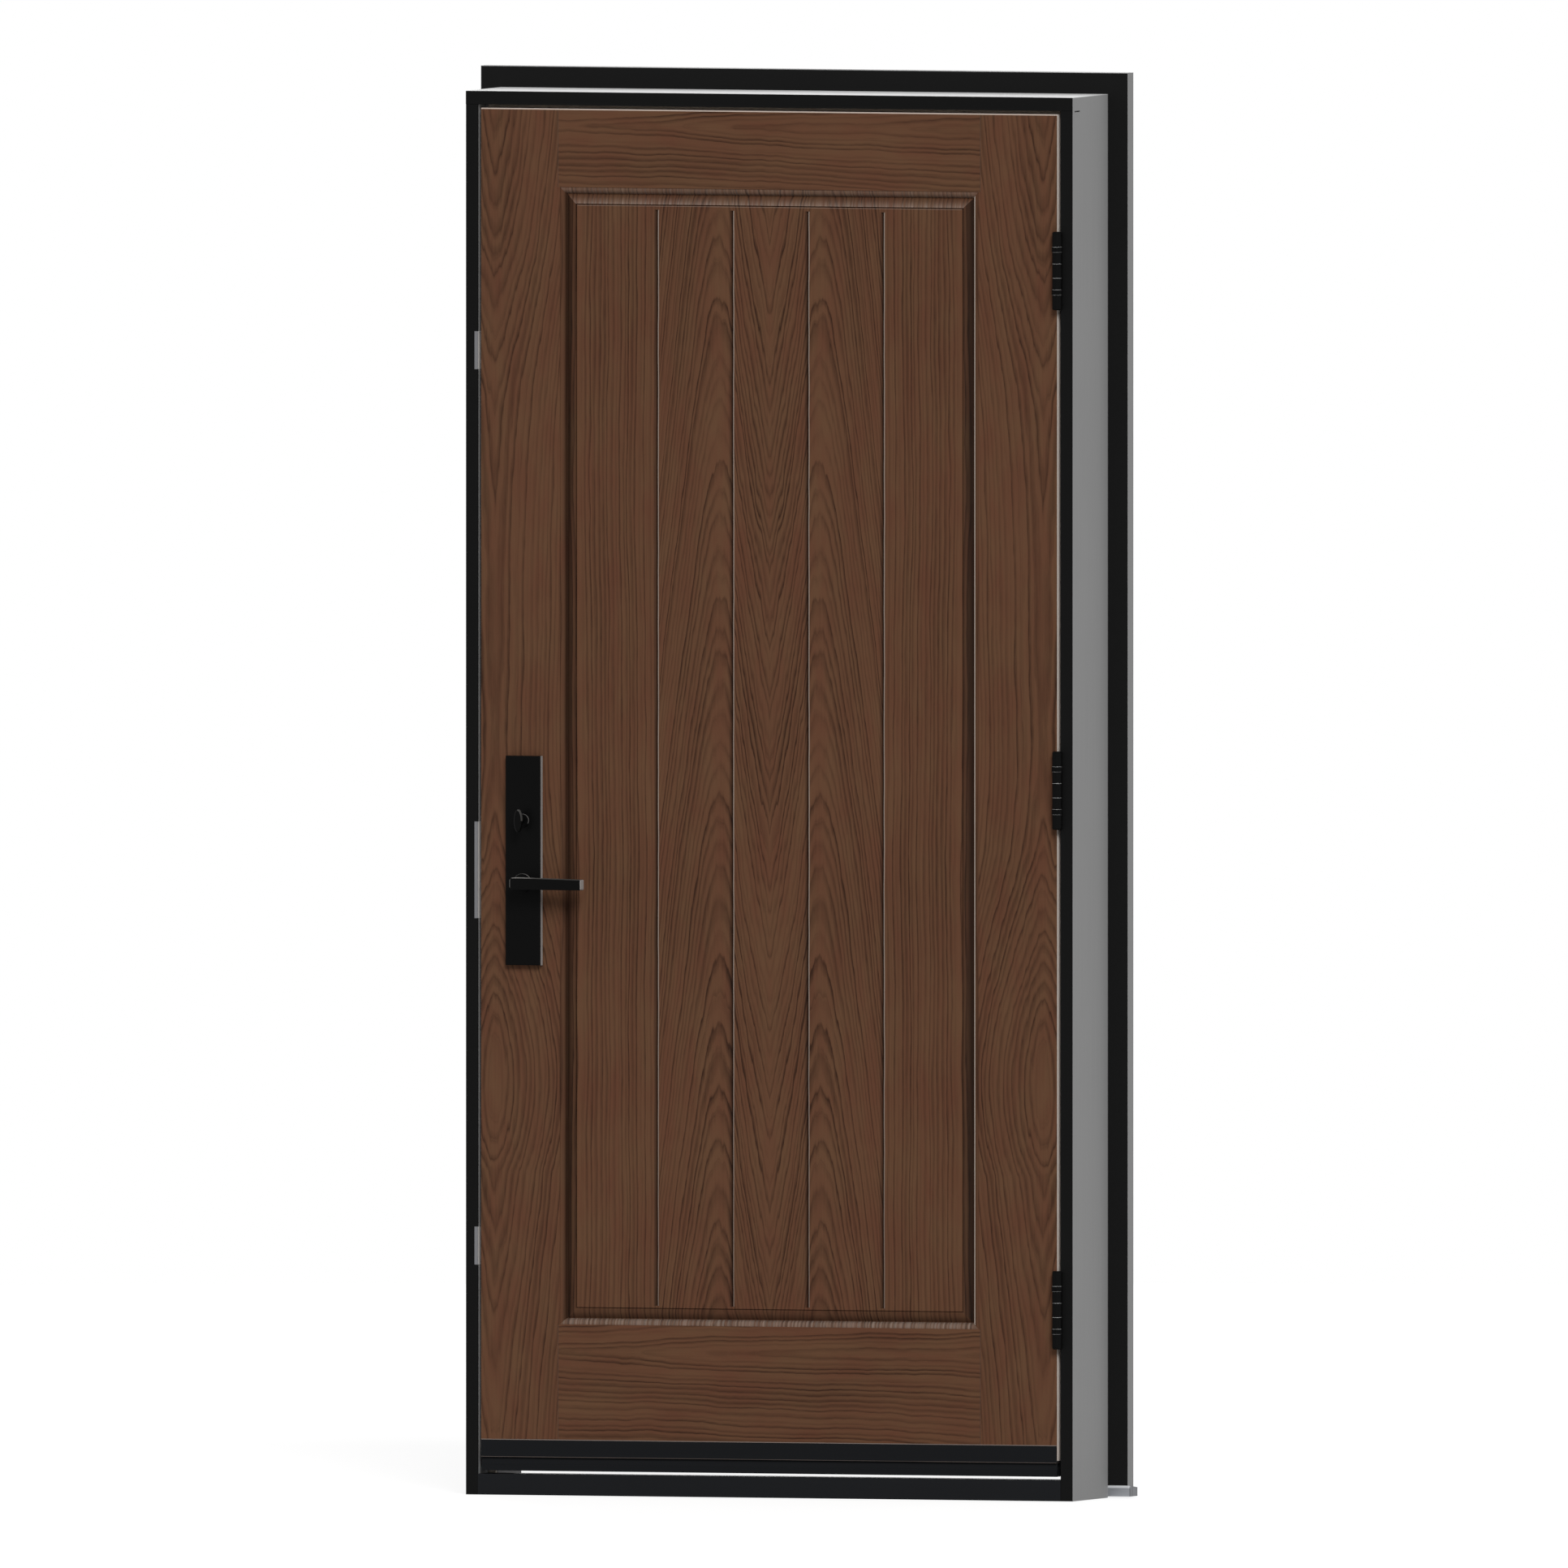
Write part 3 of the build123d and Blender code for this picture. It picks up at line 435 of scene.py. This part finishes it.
# casing: black with grey outer edges
casingPaint = {
    "primer": tone(145, 145, 145), "black": tone(25, 25, 25), "streak": 0.08,
    "side": 0.5074, "top": 2.1231,
}


def jambBlack(coat):  # the indoor edge, and a little way into the rabbet
    lap = (abs(coat.x) < jambPaint["rabbet"]) * (coat.y < jambPaint["rabbetLine"])
    return (coat.y < jambPaint["paintLine"]).atLeast(lap)


# the top face of the head, where a painted highlight goes
def jambTopHighlight(coat):
    return coat.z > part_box("head_jamb")[1].z - jambPaint["topSkim"]


def casingBlack(coat):
    return (abs(coat.x) < casingPaint["side"]) * (coat.z < casingPaint["top"])


def makePrimed(name, paint, isBlack, isHighlighted=None):
    coat = Finish(name, specular=0.03)
    streak = coat.streaks(coat.x * 300, coat.y * 300, coat.z * 4, 3.0, 0.6)
    fuzz = coat.noise(coat.place, 420, 2.0)
    cloud = coat.noise(coat.place, 5.0, 2.0)
    shade = streak * 0.55 + fuzz * 0.2 + cloud * 0.25
    dark = shaded(paint["primer"], 1 - paint["streak"])
    primer = coat.mix(shade, dark, shaded(paint["primer"], 1 + paint["streak"]))
    # an optional painted highlight, paler than the primer
    if isHighlighted:
        primer = coat.mix(isHighlighted(coat) * (0.9 + fuzz * 0.2), primer, paint["topHighlight"])
    painted = isBlack(coat)
    black = coat.mix(fuzz, shaded(paint["black"], 0.86), paint["black"])
    coat.feed(Base_Color=coat.mix(painted, primer, black))
    coat.feed(Roughness=0.62 - painted * 0.14 + (fuzz - 0.5) * 0.12)
    coat.bump(streak * 0.7 + fuzz * 0.3, 0.00008)
    return coat.material


# the last share darkens the metal, as painted shade where it is given
def brushMetal(coat, metal, colour, metallic, shadeAdded=0):
    fineX, fineY, fineZ = metal["brush"]
    brush = coat.streaks(coat.x * fineX, coat.y * fineY, coat.z * fineZ, 3.0, 0.65)
    cloud = coat.noise(coat.place, 24, 3.0)
    brushShare, cloudShare = metal["shade"]
    coat.feed(Base_Color=coat.mix(brush * brushShare + cloud * cloudShare + shadeAdded, colour, grey(0)))
    coat.feed(Metallic=metallic)
    coat.feed(Roughness=metal["rough"] + (brush - 0.5) * 0.2 + (cloud - 0.5) * 0.12)
    coat.bump(brush, 0.00003)
    return coat.material


# sill deck: drawn metal, with the folded lip painted pale as a highlight, and painted shade on the cut end of
# each horn
deck = {
    "metal": tone(170, 173, 178), "lip": tone(214, 216, 219),
    "lipFrom": 0.4764, "lipBack": 0.0869, "lipLow": 0.0147, "endFrom": 0.5102, "endShade": 0.55,
    "brush": (12, 900, 900), "shade": (0.2, 0.1), "rough": 0.42,
}


def makeDeck():
    coat = Finish("millSill", specular=0.4)
    # the lip is painted pale and less metallic, as a painted highlight
    lip = (coat.y < deck["lipBack"]) * (coat.z > deck["lipLow"]) * (abs(coat.x) > deck["lipFrom"])
    # painted shade on the horns' cut ends
    end = (abs(coat.x) > deck["endFrom"]) * deck["endShade"]
    return brushMetal(coat, deck, coat.mix(lip, deck["metal"], deck["lip"]), 0.9 - lip * 0.7, end)


# steel of the strikes, faceplate and bolts, with a pale painted highlight on the strikes inside the gap and
# on the bright rings at the hinge knuckles
steel = {
    "lip": tone(128, 128, 131), "paleHighlight": tone(238, 237, 236),
    "gapFrom": -0.0832, "strikeTo": -0.4545, "hingeFrom": 0.4,
    "brush": (900, 900, 12), "shade": (0.25, 0.15), "rough": 0.30,
}


def makeSteel():
    coat = Finish("brightSteel", specular=0.4)
    # pale and hardly metallic, as a painted highlight
    strike = (coat.y > steel["gapFrom"]) * (coat.x < steel["strikeTo"])
    paleHighlight = strike.atLeast(coat.x > steel["hingeFrom"])
    return brushMetal(coat, steel, coat.mix(paleHighlight, steel["lip"], steel["paleHighlight"]), 0.9 - paleHighlight * 0.75)


# foam core: fine closed cells
foam = {"dark": tone(214, 196, 150), "pale": tone(233, 221, 184), "cellScale": 700, "cellDepth": 0.0003}


def makeFoam():
    coat = Finish("foamCore", specular=0.1)
    cells = coat.node("ShaderNodeTexVoronoi", {}, {"Vector": coat.place, "Scale": foam["cellScale"]})
    cloud = coat.noise(coat.place, 30, 3.0)
    coat.feed(Base_Color=coat.mix(cloud, foam["dark"], foam["pale"]))
    coat.feed(Roughness=0.9 - cells * 0.1)
    coat.bump(cells, foam["cellDepth"])
    return coat.material


# stiles and rails inside the slab: pale bare wood at its edges
slabEdge = {"dark": tone(228, 214, 203), "pale": tone(250, 240, 231), "rough": 0.6, "grainDepth": 0.0001}


def makeSlabEdge():
    coat = Finish("slabEdge", specular=0.2)
    rings = coat.streaks(coat.x * 160, coat.y * 160, coat.z * 2.5, 3.0, 0.6)
    fibre = coat.streaks(coat.x * 900, coat.y * 900, coat.z * 20, 2.0)
    coat.feed(Base_Color=coat.mix(rings * 0.65 + fibre * 0.35, slabEdge["dark"], slabEdge["pale"]))
    coat.feed(Roughness=slabEdge["rough"] + (fibre - 0.5) * 0.2)
    coat.bump(rings * 0.6 + fibre * 0.4, slabEdge["grainDepth"])
    return coat.material


# door sweep: black vinyl with a pale bead along its top edge, and a fainter dashed painted highlight line
# under the shoe
sweep = {
    "vinyl": tone(25, 26, 28), "bead": tone(112, 101, 95),
    "beadFrom": 0.0822, "seam": 0.0570, "seamHalf": 0.0005, "seamShare": 0.8,
}


def makeSweep():
    coat = Finish("sweepVinyl", specular=0.03)
    skin = coat.noise(coat.place, 420, 3.0, 0.6)
    drawn = coat.streaks(coat.x * 6, coat.y * 500, coat.z * 500, 2.0)
    vinyl = coat.mix(skin * 0.5 + drawn * 0.5, shaded(sweep["vinyl"], 0.85), sweep["vinyl"])
    # a dashed painted highlight along the bottom of the shoe's front wall
    seam = (abs(coat.z - sweep["seam"]) < sweep["seamHalf"]) * drawn * sweep["seamShare"]
    coat.feed(Base_Color=coat.mix((coat.z > sweep["beadFrom"]).atLeast(seam), vinyl, sweep["bead"]))
    coat.feed(Roughness=0.5 + (drawn - 0.5) * 0.2)
    coat.bump(skin * 0.5 + drawn * 0.5, 0.00008)
    return coat.material


# lock furniture: satin black faces, with painted reflections in a pale metal colour on the plate sides,
# collar rims and lever tip, and painted highlights along the lever's edges
lock = {
    "black": tone(10, 10, 10), "reflection": tone(158, 154, 151), "highlight": tone(150, 147, 144), "skim": 0.0002,
    "leverX": -0.38305, "leverLevel": 0.9126, "turnLevel": 1.0060,
    "plateHalf": 0.0274, "plateRise": 0.03295, "plateArris": 0.0012,
    "armReach": 0.1017, "armTail": 0.010, "hubHalf": 0.009, "armFall": 0.0251, "armFrom": 0.0517,
    "armEdge": 0.0008, "tailEdge": 0.0009,
    "armFade": ((0.0, 0.95), (0.2, 0.7), (0.4, 0.22), (1.0, 0.16)),  # from the tail to the tip
    "collars": ((0.9126, 0.0140, 0.0370), (1.0060, 0.0097, 0.0360)),  # level, radius and face
    "collarEdge": 0.0003, "collarShare": 0.42,
    "paddle": (0.006, 0.017, 0.0520),  # half width, half height and face
    "paddleRim": (0.90, 1.1), "paddleShare": 0.25,
}


def makeLock():
    coat = Finish("blackLock", specular=0.04)
    skin = coat.noise(coat.place, 460, 3.0, 0.6)
    cloud = coat.noise(coat.place, 9.0, 2.0)
    aside = coat.x - lock["leverX"]
    out = abs(coat.y - grain["slabMiddle"])

    # painted reflection on the plates' sides, the lever's tip and the rims of the collars
    plateSide = abs(aside) > lock["plateHalf"] - lock["skim"]
    reflection = plateSide * (out < lock["plateRise"] - lock["plateArris"])
    reflection = reflection.atLeast(aside > lock["armReach"] - lock["armEdge"])
    for level, radius, face in lock["collars"]:
        reach = (aside * aside + (coat.z - level) * (coat.z - level)).root()
        rim = abs(reach - radius) < lock["collarEdge"]
        rim = rim * out.within(lock["plateRise"] + lock["skim"], face + lock["skim"])
        reflection = reflection.atLeast(rim * (coat.z > level - radius * 0.5) * lock["collarShare"])

    # a painted highlight along the lever's top edge and the thumbturn's rim
    arm = (out > lock["armFrom"]) * (abs(coat.z - lock["leverLevel"]) < lock["hubHalf"] * 1.2)
    armTop = lock["leverLevel"] + lock["hubHalf"] - (aside - lock["armTail"]).atLeast(0) * lock["armFall"]
    armEdge = (coat.z > armTop - lock["armEdge"]).atLeast(aside < lock["tailEdge"] - lock["armTail"])
    highlight = arm * coat.ramp((aside + lock["armTail"]) / lock["armReach"], lock["armFade"]) * armEdge
    half, tall, face = lock["paddle"]
    wide = aside / half
    high = (coat.z - lock["turnLevel"]) / tall
    rim = (wide * wide + high * high).root().within(*lock["paddleRim"]) * (out > face)
    highlight = highlight.atLeast(rim * (aside > 0) * (high > 0) * lock["paddleShare"])

    black = coat.mix(skin * 0.5 + cloud * 0.5, shaded(lock["black"], 0.84), lock["black"])
    # painted highlight, then painted reflection, over the satin black
    black = coat.mix(highlight * (0.5 + cloud * 0.7).clip(), black, lock["highlight"])
    coat.feed(Base_Color=coat.mix(reflection * (0.72 + cloud * 0.4).clip(), black, lock["reflection"]))
    coat.feed(Roughness=0.36 + (cloud - 0.5) * 0.16 + (skin - 0.5) * 0.08)
    coat.bump(skin, 0.00003)
    return coat.material


finishes = {
    "primed_jamb": makePrimed("primedJamb", jambPaint, jambBlack, jambTopHighlight),
    "black_casing": makePrimed("blackCasing", casingPaint, casingBlack),
    "sill_metal": makeDeck(),
    "bright_steel": makeSteel(),
    "wood_grain_skin": makeGrain(),
    "slab_edge": makeSlabEdge(),
    "foam": makeFoam(),
    "sweep_vinyl": makeSweep(),
    "black_lock": makeLock(),
}
for slot, paint in paints.items():
    finishes[slot] = makePaint(**paint)
for subpart in frame["record"]["subparts"]:
    node = nodes[subpart["node"]]
    node.data.materials.clear()
    node.data.materials.append(finishes[subpart["material_slot"]])
print("finishes:", len(finishes))


def middleOf(node):
    low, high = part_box(node)
    return (low + high) / 2


def joinOnBody(pieces, name, slot, body):
    bpy.ops.object.select_all(action="DESELECT")
    for piece in pieces:
        piece.select_set(True)
    bpy.context.view_layer.objects.active = pieces[0]
    bpy.ops.object.join()
    joined = bpy.context.object
    bpy.ops.object.transform_apply(location=True, rotation=True, scale=True)
    joined.name = name
    joined.data.materials.clear()
    joined.data.materials.append(finishes[slot])
    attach(joined, body)


# countersunk screws in the hinge leaves, strikes and faceplate
screw = {
    "headRadius": 0.0042, "proud": 0.0003, "sunk": 0.0012, "rim": 0.00025, "crown": 0.6, "sides": 28,
    "crossLength": 0.0046, "crossWidth": 0.0010, "crossDepth": 0.0009, "smoothAngle": 35,
}


def makeScrew():
    depth = screw["proud"] + screw["sunk"]
    bpy.ops.mesh.primitive_cylinder_add(vertices=screw["sides"], radius=screw["headRadius"], depth=depth)
    head = bpy.context.object
    head.name = "screwPattern"
    bpy.ops.object.mode_set(mode="EDIT")
    bpy.ops.mesh.select_all(action="DESELECT")
    bpy.ops.object.mode_set(mode="OBJECT")
    for face in head.data.polygons:
        face.select = face.normal.z > 0.9
    bpy.ops.object.mode_set(mode="EDIT")
    bpy.ops.mesh.inset(thickness=screw["rim"])
    bpy.ops.transform.translate(value=(0, 0, screw["rim"] * screw["crown"]))
    bpy.ops.object.mode_set(mode="OBJECT")
    cutters = []
    for turn in (0, math.pi / 2):
        top = depth / 2 + screw["rim"]
        bpy.ops.mesh.primitive_cube_add(size=1, location=(0, 0, top), rotation=(0, 0, turn))
        cutter = bpy.context.object
        cutter.scale = (screw["crossLength"], screw["crossWidth"], screw["crossDepth"] * 2)
        bpy.ops.object.transform_apply(location=True, rotation=True, scale=True)
        cutters.append(cutter)
    for cutter in cutters:
        bpy.ops.object.select_all(action="DESELECT")
        head.select_set(True)
        bpy.context.view_layer.objects.active = head
        slit = head.modifiers.new("slit", "BOOLEAN")
        slit.operation = "DIFFERENCE"
        slit.object = cutter
        bpy.ops.object.modifier_apply(modifier=slit.name)
        bpy.data.objects.remove(cutter)
    bpy.ops.object.shade_smooth_by_angle(angle=math.radians(screw["smoothAngle"]))
    return head


def setScrews(pattern, name, spots, out, slot, body):
    drop = (screw["proud"] - screw["sunk"]) / 2
    heads = []
    for spot in spots:  # each head sits a little proud of the face, pointing out of it
        head = pattern.copy()
        head.data = pattern.data.copy()
        bpy.context.scene.collection.objects.link(head)
        head.rotation_mode = "QUATERNION"
        head.rotation_quaternion = Vector(out).to_track_quat("Z", "Y")
        head.location = Vector(spot) + Vector(out).normalized() * drop
        heads.append(head)
    joinOnBody(heads, name, slot, body)


# rises from the middle of each hinge, strike or lever, and the hinge screws' reach from the indoor face
hingeScrews = {"rows": ((-0.040, 0.027), (-0.014, 0.014), (0.014, 0.027), (0.040, 0.014))}
strikeScrews = {"ends": (-0.0215, 0.0215), "main": (-0.034, 0.0247, 0.082)}
faceplateScrews = {"endInset": 0.014, "middles": (-0.045, 0.022, 0.088)}

pattern = makeScrew()
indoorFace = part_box("inside_skin")[0].y
capLow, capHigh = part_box("sill_cap")  # the sill cap runs from rabbet to rabbet
for level in ("top", "middle", "bottom"):
    middle = middleOf(f"{level}_hinge_pin").z
    for owner, face, out, body in (
        ("jamb", capHigh.x, (-1, 0, 0), "frame"),
        ("door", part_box("hinge_stile")[1].x, (1, 0, 0), "door"),
    ):
        spots = [(face, indoorFace + reach, middle + rise) for rise, reach in hingeScrews["rows"]]
        setScrews(pattern, f"{level}_hinge_{owner}_screws", spots, out, "black_hinge", body)

bolt = middleOf("latch_bolt")
for level, middle, rises in (
    ("top", middleOf("top_strike").z, strikeScrews["ends"]),
    ("bottom", middleOf("bottom_strike").z, strikeScrews["ends"]),
    ("main", bolt.z, strikeScrews["main"]),
):
    spots = [(capLow.x, bolt.y, middle + rise) for rise in rises]
    setScrews(pattern, f"{level}_strike_screws", spots, (1, 0, 0), "bright_steel", "frame")

plateLow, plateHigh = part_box("lock_faceplate")
levels = [bolt.z + rise for rise in faceplateScrews["middles"]]
levels += [plateLow.z + faceplateScrews["endInset"], plateHigh.z - faceplateScrews["endInset"]]
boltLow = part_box("latch_bolt")[0]
boltFace = boltLow.x + (bolt.y - boltLow.y) * grain["bevel"]  # the lock edge leans
spots = [(boltFace, bolt.y, level) for level in levels]
setScrews(pattern, "faceplate_screws", spots, (-1, grain["bevel"], 0), "bright_steel", "door")
bpy.data.objects.remove(pattern)
print("screws set")

# painted highlight lines, made as thin bright rings at the joints between the hinge knuckles
knuckleHighlight = {
    "radius": 0.0068, "gaps": (0.01065, 0.02795), "collar": 0.03571, "collarRadius": 0.0070,
    "wire": 0.00016, "turns": 44, "wireSides": 6,
}


def setKnuckleHighlights(level):
    middle = middleOf(f"{level}_hinge_pin")
    rings = [(rise, knuckleHighlight["radius"]) for rise in knuckleHighlight["gaps"]]
    rings.append((knuckleHighlight["collar"], knuckleHighlight["collarRadius"]))
    made = []
    for rise, radius in rings + [(-rise, radius) for rise, radius in rings]:
        bpy.ops.mesh.primitive_torus_add(
            major_segments=knuckleHighlight["turns"], minor_segments=knuckleHighlight["wireSides"],
            major_radius=radius, minor_radius=knuckleHighlight["wire"],
            location=(middle.x, middle.y, middle.z + rise),
        )
        bpy.ops.object.shade_smooth()
        made.append(bpy.context.object)
    joinOnBody(made, f"{level}_hinge_washers", "bright_steel", "frame")


for level in ("top", "middle", "bottom"):
    setKnuckleHighlights(level)
print("knuckle_highlights set")

# camera of the photo: from the right, a little above level
shot = {"azimuth": 18.41, "rise": 2.02, "aim": (-0.0044, 0, 1.0612), "width": 2.3356, "distance": 8.0}


def makeCamera():
    azimuth = math.radians(shot["azimuth"])
    rise = math.radians(shot["rise"])
    back = Vector((
        math.sin(azimuth) * math.cos(rise),
        -math.cos(azimuth) * math.cos(rise),
        math.sin(rise),
    ))
    camera = bpy.data.cameras.new("camera")
    camera.type = "ORTHO"
    camera.ortho_scale = shot["width"]
    holder = bpy.data.objects.new("camera", camera)
    bpy.context.scene.collection.objects.link(holder)
    holder.location = Vector(shot["aim"]) + back * shot["distance"]
    holder.rotation_euler = (-back).to_track_quat("-Z", "Y").to_euler()
    bpy.context.scene.camera = holder


# soft studio light: an even white room, a broad key from the front and above, and a weaker lamp behind
studio = {
    "fill": 0.42, "key": 2.18, "keyFrom": (0.42, -0.76, 0.61), "back": 1.3, "backFrom": (-0.35, 0.84, 0.42),
    "lampAngle": 24,
    "floorRadius": 9.0, "floorSides": 96, "floorDrop": 0.0005,
    "floorBounce": 0.55, "floorSeen": 0.32, "floorGlow": 0.76,
}


def seenPlainly(tree):  # 1 on rays from the camera, from gloss and through glass
    path = tree.nodes.new("ShaderNodeLightPath")
    seen = path.outputs["Is Camera Ray"]
    for other in ("Is Glossy Ray", "Is Transmission Ray"):
        either = tree.nodes.new("ShaderNodeMath")
        either.operation = "MAXIMUM"
        tree.links.new(seen, either.inputs[0])
        tree.links.new(path.outputs[other], either.inputs[1])
        seen = either.outputs[0]
    return seen


def makeStudio():
    world = bpy.data.worlds.new("studio")
    bpy.context.scene.world = world
    world.use_nodes = True
    tree = world.node_tree
    level = tree.nodes.new("ShaderNodeMapRange")
    tree.links.new(seenPlainly(tree), level.inputs["Value"])
    level.inputs["To Min"].default_value = studio["fill"]
    level.inputs["To Max"].default_value = 1.0
    tree.nodes["Background"].inputs["Color"].default_value = grey(1)
    tree.links.new(level.outputs[0], tree.nodes["Background"].inputs["Strength"])
    for name in ("key", "back"):
        light = bpy.data.lights.new(name, "SUN")
        light.energy = studio[name]
        light.angle = math.radians(studio["lampAngle"])
        lamp = bpy.data.objects.new(name, light)
        bpy.context.scene.collection.objects.link(lamp)
        lamp.rotation_euler = (-Vector(studio[name + "From"])).to_track_quat("-Z", "Y").to_euler()


def makeFloor():
    bpy.ops.object.select_all(action="DESELECT")
    bpy.ops.mesh.primitive_circle_add(
        vertices=studio["floorSides"], radius=studio["floorRadius"], fill_type="NGON")
    floor = bpy.context.object
    floor.name = "floor"
    floor.location.z = -studio["floorDrop"]
    bpy.ops.object.transform_apply(location=True, rotation=True, scale=True)
    coat = Finish("paleFloor", specular=0.0)
    seen = Link(coat, seenPlainly(coat.tree))
    coat.feed(Base_Color=coat.mix(seen, grey(studio["floorBounce"]), grey(studio["floorSeen"])))
    coat.feed(Emission_Color=coat.mix(seen, grey(0), grey(studio["floorGlow"])))
    coat.feed(Roughness=1.0, Emission_Strength=1.0)
    floor.data.materials.append(coat.material)


makeCamera()
makeStudio()
makeFloor()
bpy.context.scene.view_settings.view_transform = "Standard"
print("camera, light and floor ready")
